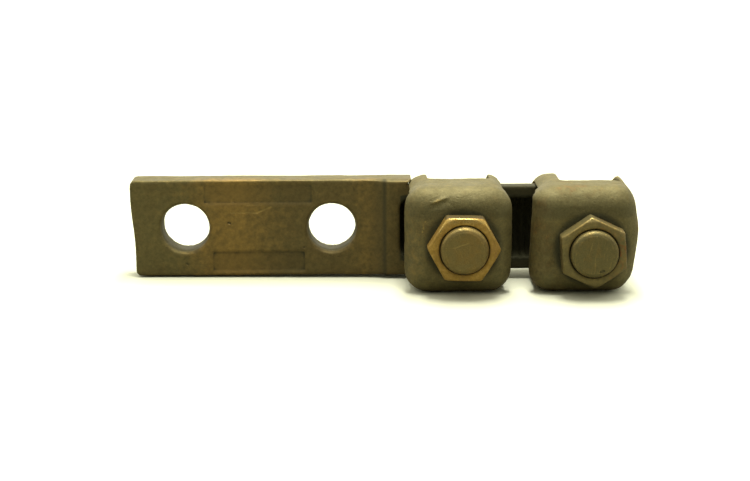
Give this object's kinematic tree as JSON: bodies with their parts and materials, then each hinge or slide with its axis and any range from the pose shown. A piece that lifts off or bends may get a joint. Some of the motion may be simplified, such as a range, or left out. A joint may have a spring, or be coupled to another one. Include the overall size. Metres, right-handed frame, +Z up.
{
  "type": "clamp terminal lug",
  "caption": "Cast bronze clamp-type terminal lug: a flat drilled tongue and a half-round cable trough, with screw collars that press saddles on the cable.",
  "frame": {"origin": "middle of the two bolt holes, on the tongue's flat mounting face", "axes": "+X along the lug towards the trough's open end, +Y out of the mounting face, -Y the side that the screws face, +Z up"},
  "size_m": [0.151, 0.0447, 0.0318],
  "materials": {
    "brown_bronze": "dull brown patina on rough cast bronze",
    "green_bronze": "matte greenish-grey patina on rough cast bronze",
    "worn_bronze": "worn, satin golden bronze with patches of patina",
    "machined_bronze": "turned bronze under a thin brown patina"
  },
  "bodies": {
    "lug": {"lug_body": "brown_bronze"},
    "inner_collar": {"inner_collar": "green_bronze"},
    "inner_saddle": {"inner_saddle": "brown_bronze"},
    "inner_screw": {"inner_screw_stem": "machined_bronze", "inner_hexagon": "worn_bronze"},
    "outer_collar": {"outer_collar": "green_bronze"},
    "outer_saddle": {"outer_saddle": "brown_bronze"},
    "outer_screw": {"outer_screw_stem": "machined_bronze", "outer_hexagon": "worn_bronze"}
  },
  "joints": [
    {"name": "inner_collar_slide", "type": "slide", "parent": "lug", "child": "inner_collar", "axis": [1, 0, 0], "range_m": [0, 0.0025]},
    {"name": "outer_collar_slide", "type": "slide", "parent": "lug", "child": "outer_collar", "axis": [1, 0, 0], "range_m": [-0.0025, 0.012]},
    {"name": "inner_saddle_lift", "type": "slide", "parent": "inner_collar", "child": "inner_saddle", "axis": [0, -1, 0], "range_m": [0, 0.0058]},
    {"name": "inner_screw_turn", "type": "hinge", "parent": "inner_saddle", "child": "inner_screw", "pos_m": [0.06082, -0.0211, -0.00075], "axis": [0, -1, 0], "range_deg": [0, 990]},
    {"name": "outer_saddle_lift", "type": "slide", "parent": "outer_collar", "child": "outer_saddle", "axis": [0, -1, 0], "range_m": [0, 0.0058]},
    {"name": "outer_screw_turn", "type": "hinge", "parent": "outer_saddle", "child": "outer_screw", "pos_m": [0.09823, -0.0211, -0.002], "axis": [0, -1, 0], "range_deg": [0, 990]}
  ],
  "couplings": [
    {"joint": "inner_screw_turn", "follows": "inner_saddle_lift", "rad_per_m": 2968.4},
    {"joint": "outer_screw_turn", "follows": "outer_saddle_lift", "rad_per_m": 2968.4}
  ]
}
